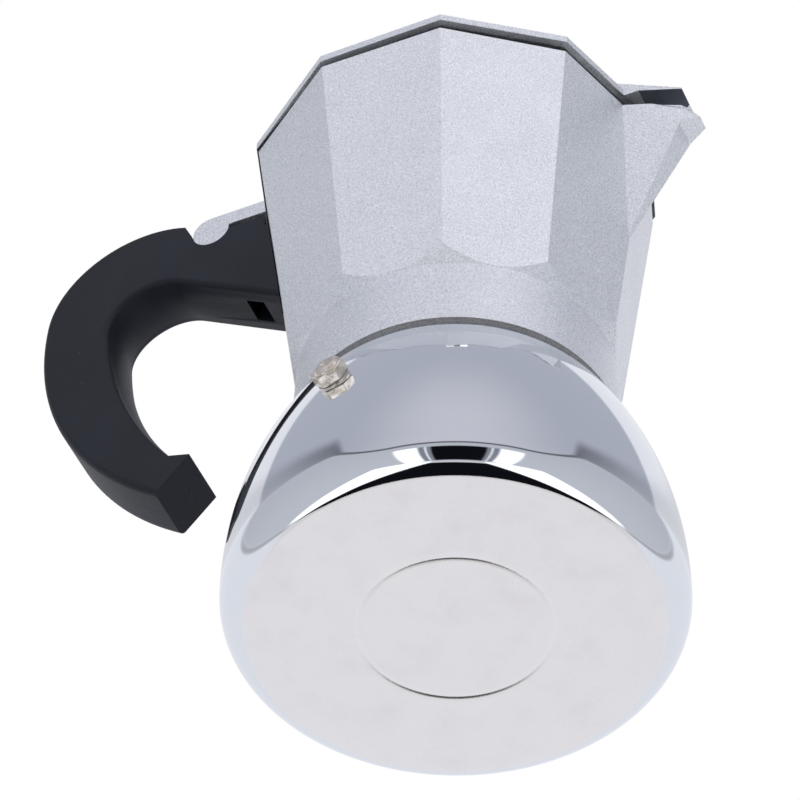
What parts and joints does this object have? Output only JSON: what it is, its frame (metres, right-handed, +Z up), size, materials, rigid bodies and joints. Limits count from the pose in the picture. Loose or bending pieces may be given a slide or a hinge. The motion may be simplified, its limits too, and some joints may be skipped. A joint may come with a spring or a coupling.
{
  "type": "moka pot",
  "caption": "Stovetop moka pot: a bell-shaped steel boiler, a faceted cast upper chamber with spout and hinged lid, and an open hook handle.",
  "frame": {"origin": "middle of the boiler's flat underside", "axes": "+Z up along the pot's axis, +X to the spout, -X to the handle"},
  "size_m": [0.1736, 0.105, 0.1849],
  "materials": {
    "polished_steel": "mirror polished",
    "neck_steel": "turned, slightly heat tinted",
    "nickel_brass": "nickel plated, bright",
    "white_seal": "smooth",
    "stem_steel": "turned",
    "spring_steel": "drawn wire",
    "funnel_aluminium": "spun, satin",
    "seal_rubber": "moulded silicone",
    "filter_aluminium": "pressed, satin",
    "chamber_aluminium": "cast and bead blasted",
    "pin_steel": "ground",
    "handle_nylon": "moulded, matte",
    "screw_steel": "zinc plated",
    "lid_aluminium": "cast and bead blasted",
    "knob_nylon": "moulded, matte"
  },
  "bodies": {
    "boiler": {"boiler": "polished_steel", "neck_ring": "neck_steel", "valve_bush": "nickel_brass", "valve_washer": "white_seal", "valve_body": "nickel_brass", "valve_retainer": "nickel_brass", "valve_spring": "spring_steel"},
    "valve_pin": {"valve_stem": "stem_steel"},
    "funnel": {"funnel": "funnel_aluminium", "funnel_strainer": "funnel_aluminium"},
    "chamber": {"upper_chamber": "chamber_aluminium", "gasket": "seal_rubber", "filter_plate": "filter_aluminium", "hinge_pin": "pin_steel", "handle": "handle_nylon", "handle_screw": "screw_steel"},
    "lid": {"lid": "lid_aluminium", "lid_knob": "knob_nylon", "knob_screw": "screw_steel", "knob_washer": "screw_steel"}
  },
  "joints": [
    {"name": "valve_lift", "type": "slide", "parent": "boiler", "child": "valve_pin", "axis": [-0.195, -0.9585, 0.2079], "range_m": [0, 0.001], "stiffness_N_per_m": 2000, "springref_m": -0.001, "deforming": ["valve_spring"]},
    {"name": "funnel_rise", "type": "slide", "parent": "boiler", "child": "funnel", "axis": [0, 0, 1], "range_m": [0, 0.0076]},
    {"name": "chamber_turn", "type": "hinge", "parent": "funnel", "child": "chamber", "pos_m": [0, 0, 0.0655], "axis": [0, 0, 1], "range_deg": [0, 900]},
    {"name": "lid_hinge", "type": "hinge", "parent": "chamber", "child": "lid", "pos_m": [-0.064, 0, 0.1563], "axis": [0, -1, 0], "range_deg": [-1.5, 95]}
  ],
  "couplings": [
    {"joint": "funnel_rise", "follows": "chamber_turn", "m_per_rad": 0.00047746}
  ]
}
